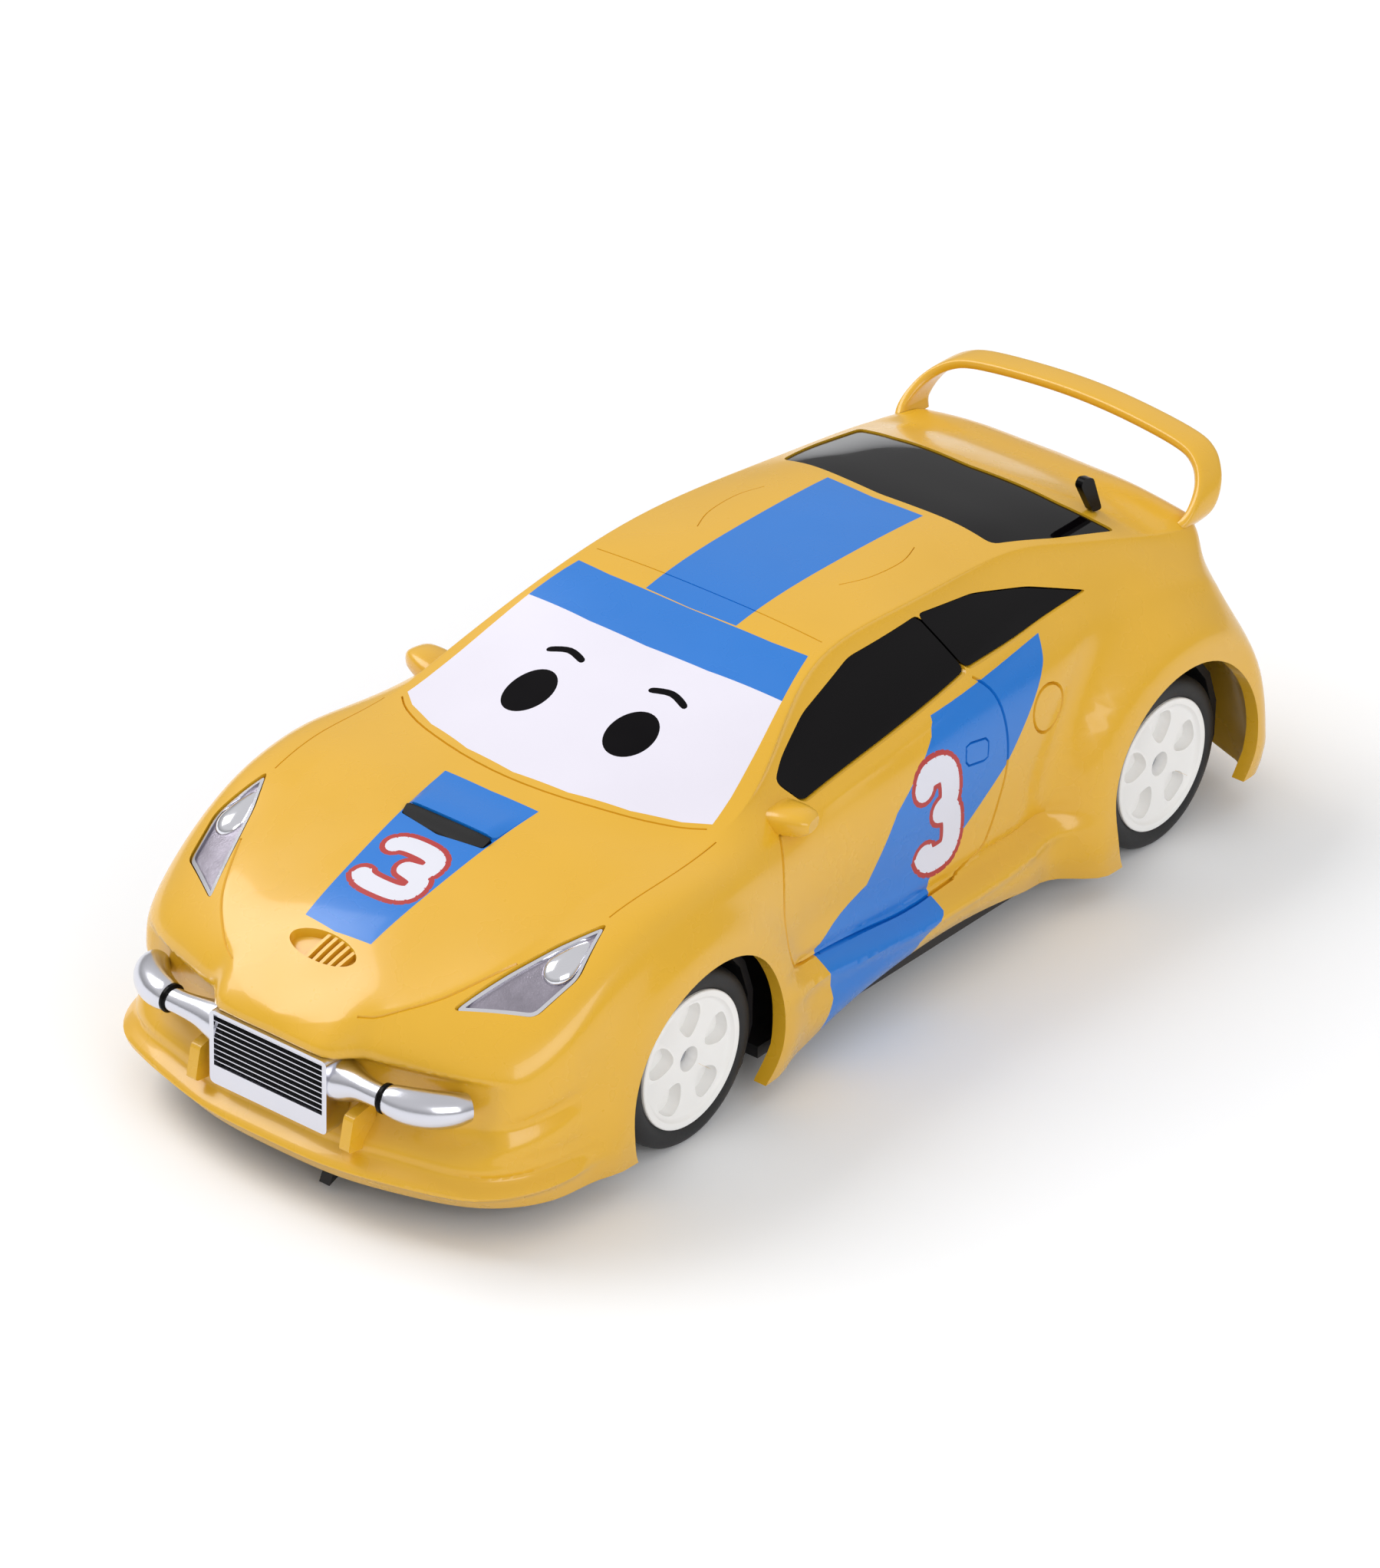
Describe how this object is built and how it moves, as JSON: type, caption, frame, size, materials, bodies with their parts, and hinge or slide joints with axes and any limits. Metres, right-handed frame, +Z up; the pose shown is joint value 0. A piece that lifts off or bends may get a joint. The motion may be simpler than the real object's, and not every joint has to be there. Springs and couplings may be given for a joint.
{
  "type": "pull back car",
  "caption": "Toy coupe with a pull-back clockwork motor on the rear axle, a moulded body on a screwed chassis, plated bumper bar, raised tail spoiler and rubber-tyred wheels.",
  "frame": {"origin": "on the ground under the centre of the bounding box", "axes": "+Z up, front of the car towards -Y, the car's left side towards +X"},
  "size_m": [0.0602, 0.1378, 0.0414],
  "materials": {
    "body_yellow": "glossy moulded plastic with printed stickers in blue, white, red and black",
    "window_black": "polished smoked black plastic",
    "chrome_trim": "vacuum-plated plastic with black paint in the grille",
    "lamp_silver": "plated plastic with a fine textured lower field",
    "trim_black": "glossy black plastic",
    "chassis_black": "fine-grained black plastic",
    "hub_white": "satin white plastic",
    "tyre_black": "smooth soft rubber",
    "steel": "bright steel",
    "gear_white": "natural acetal",
    "motor_case": "dark moulded plastic"
  },
  "bodies": {
    "car_body": {"body_shell": "body_yellow", "window_insert": "window_black", "bumper_bar": "chrome_trim", "hood_scoop_insert": "trim_black", "rear_spoiler": "body_yellow", "rear_wiper": "trim_black", "chassis": "chassis_black", "headlight_left": "lamp_silver", "headlight_right": "lamp_silver", "screw_front_left": "steel", "screw_front_right": "steel", "screw_rear_left": "steel", "screw_rear_right": "steel", "motor_screw_front": "steel", "motor_screw_rear": "steel", "mainspring": "steel", "motor_case_left": "motor_case", "motor_case_right": "motor_case"},
    "front_wheelset": {"axle_front": "steel", "hub_front_left": "hub_white", "tyre_front_left": "tyre_black", "hub_front_right": "hub_white", "tyre_front_right": "tyre_black"},
    "rear_wheelset": {"axle_rear": "steel", "axle_pinion": "gear_white", "hub_rear_left": "hub_white", "tyre_rear_left": "tyre_black", "hub_rear_right": "hub_white", "tyre_rear_right": "tyre_black"},
    "idler": {"intermediate_gear": "gear_white"},
    "spring_barrel": {"barrel_gear": "gear_white"}
  },
  "joints": [
    {"name": "front_axle_spin", "type": "hinge", "parent": "car_body", "child": "front_wheelset", "pos_m": [0, -0.03235, 0.01], "axis": [1, 0, 0], "continuous": true},
    {"name": "rear_axle_spin", "type": "hinge", "parent": "car_body", "child": "rear_wheelset", "pos_m": [0, 0.04765, 0.01], "axis": [1, 0, 0], "continuous": true},
    {"name": "intermediate_gear_spin", "type": "hinge", "parent": "car_body", "child": "idler", "pos_m": [0, 0.03916, 0.013], "axis": [1, 0, 0], "continuous": true},
    {"name": "barrel_gear_spin", "type": "hinge", "parent": "car_body", "child": "spring_barrel", "pos_m": [0, 0.02974, 0.0142], "axis": [1, 0, 0], "continuous": true}
  ],
  "couplings": [
    {"joint": "intermediate_gear_spin", "follows": "rear_axle_spin", "ratio": -0.5},
    {"joint": "barrel_gear_spin", "follows": "rear_axle_spin", "ratio": 0.17857}
  ]
}
